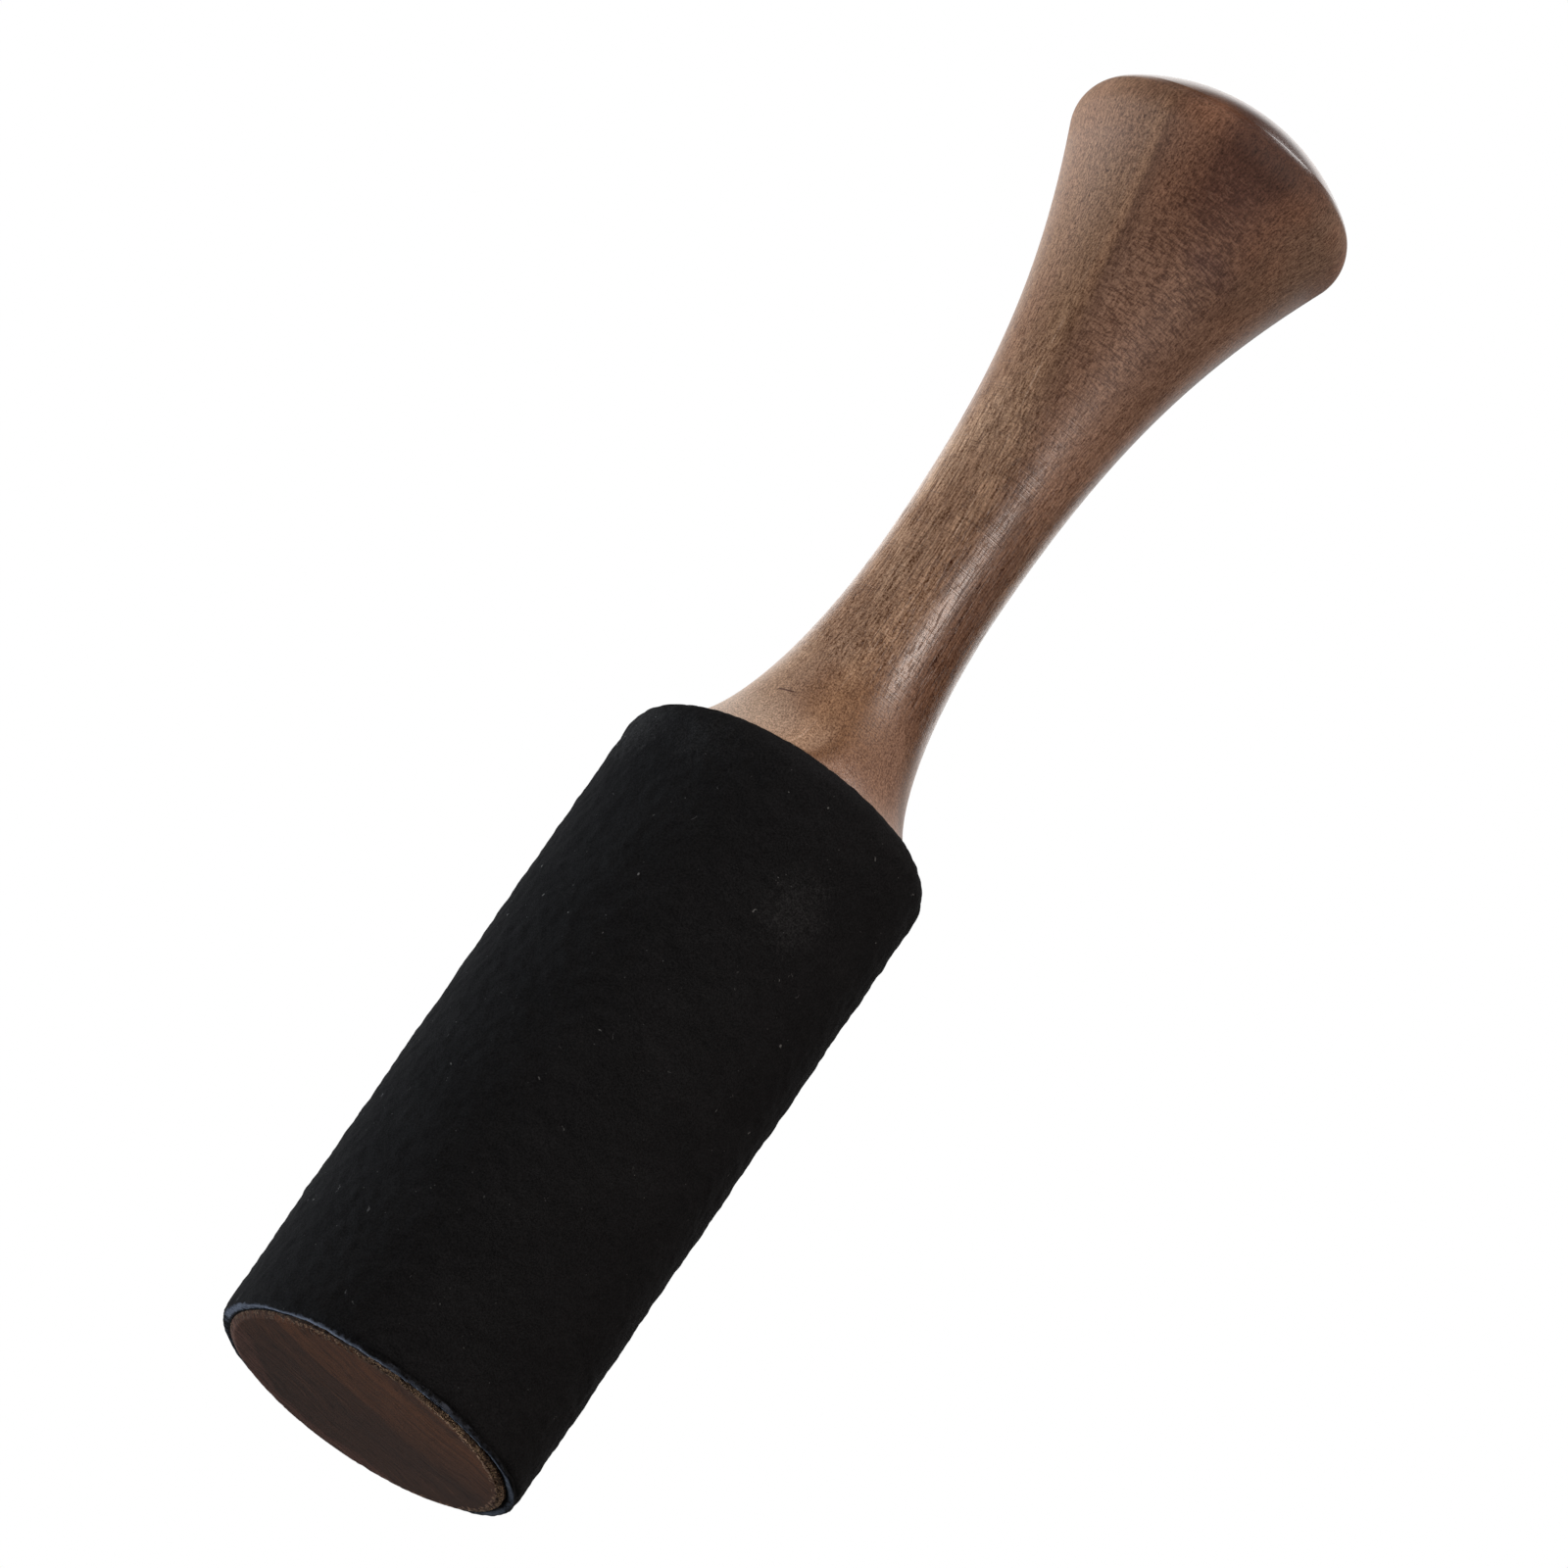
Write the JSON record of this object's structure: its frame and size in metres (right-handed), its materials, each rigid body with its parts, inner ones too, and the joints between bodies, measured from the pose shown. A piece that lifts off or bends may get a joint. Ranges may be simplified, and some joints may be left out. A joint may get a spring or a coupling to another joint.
{
  "type": "singing bowl mallet",
  "caption": "Turned hardwood mallet for singing bowls: a suede-wrapped cylindrical head with a bare wooden striking end, and a waisted handle that flares to a domed butt.",
  "frame": {"origin": "centre of the flat bare wooden striking end, which the mallet stands on", "axes": "+Z along the turning axis from the striking end to the domed butt; +Y towards the suede's seam, at the back; -Y towards the side that the picture shows"},
  "size_m": [0.042, 0.042, 0.2017],
  "materials": {
    "handle_wood": "satin oiled walnut-brown hardwood, fine pores along the grain, faint turning lines",
    "core_wood": "dark bare end grain with a rough tan edge",
    "suede": "black napped suede, matte, with a blue-grey cut edge"
  },
  "bodies": {
    "root": {"handle": "handle_wood", "head_core": "core_wood", "suede_sleeve": "suede"}
  },
  "joints": []
}
